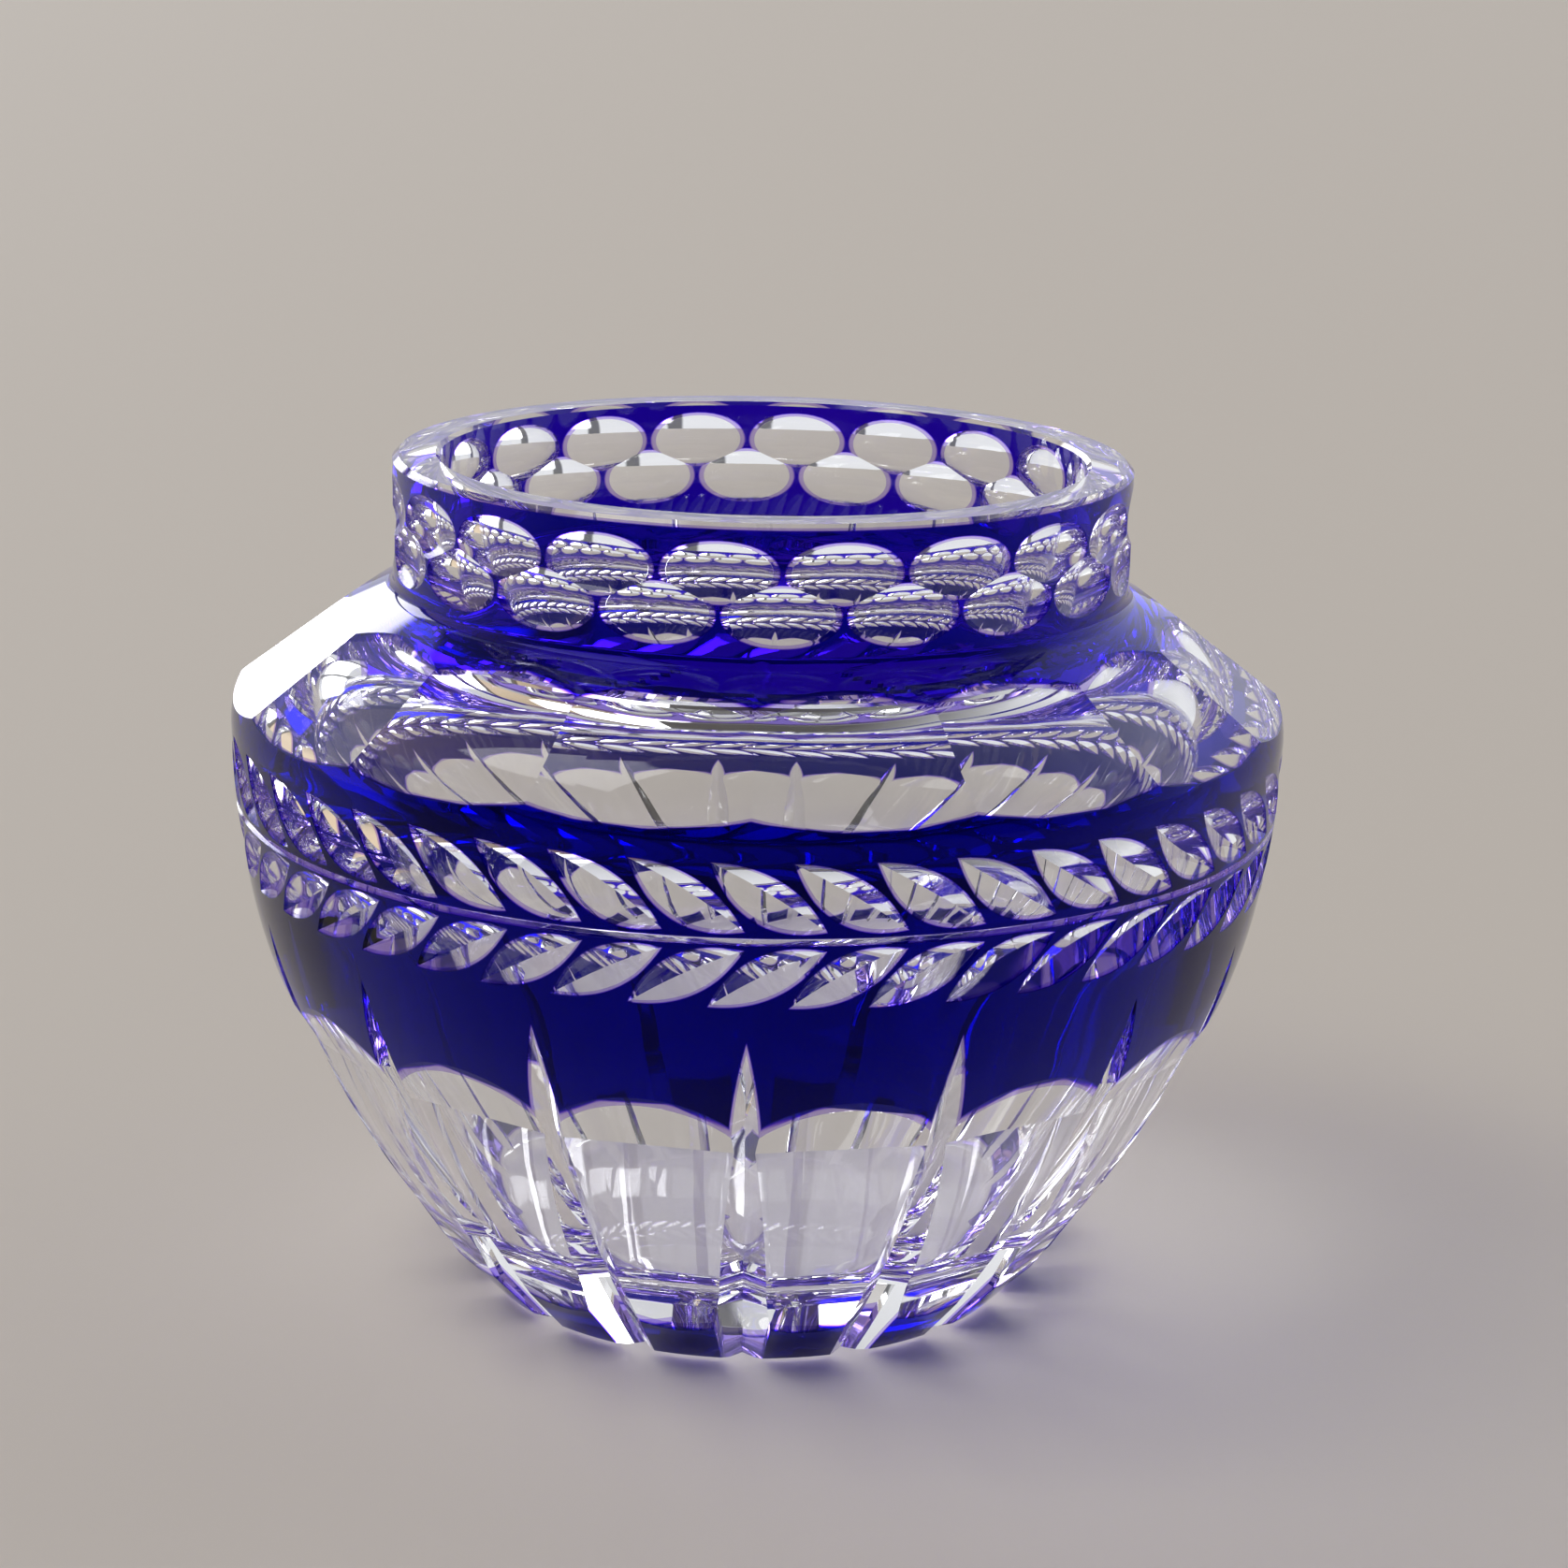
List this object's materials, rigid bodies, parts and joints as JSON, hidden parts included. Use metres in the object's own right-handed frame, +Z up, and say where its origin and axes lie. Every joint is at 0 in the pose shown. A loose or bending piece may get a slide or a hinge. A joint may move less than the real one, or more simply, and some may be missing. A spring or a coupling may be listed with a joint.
{
  "type": "cut crystal vase",
  "caption": "Squat round vase of clear crystal cased in cobalt glass, cut to clear with ovals, facets, a leaf garland and tall mitred panels; open at the top to hold flowers.",
  "frame": {"origin": "centre of the flat base, on the surface that the vase stands on", "axes": "+Z up along the axis of the vase; the side that the picture shows faces -Y"},
  "size_m": [0.22, 0.22, 0.1778],
  "materials": {
    "crystal": "polished",
    "cobalt": "polished"
  },
  "bodies": {
    "root": {"crystal_body": "crystal", "rim_overlay": "cobalt", "shoulder_overlay": "cobalt", "upper_garland_overlay": "cobalt", "lower_garland_overlay": "cobalt", "foot_overlay_01": "cobalt", "foot_overlay_02": "cobalt", "foot_overlay_03": "cobalt", "foot_overlay_04": "cobalt", "foot_overlay_05": "cobalt", "foot_overlay_06": "cobalt", "foot_overlay_07": "cobalt", "foot_overlay_08": "cobalt", "foot_overlay_09": "cobalt", "foot_overlay_10": "cobalt", "foot_overlay_11": "cobalt", "foot_overlay_12": "cobalt", "foot_overlay_13": "cobalt", "foot_overlay_14": "cobalt", "foot_overlay_15": "cobalt", "foot_overlay_16": "cobalt"}
  },
  "joints": []
}
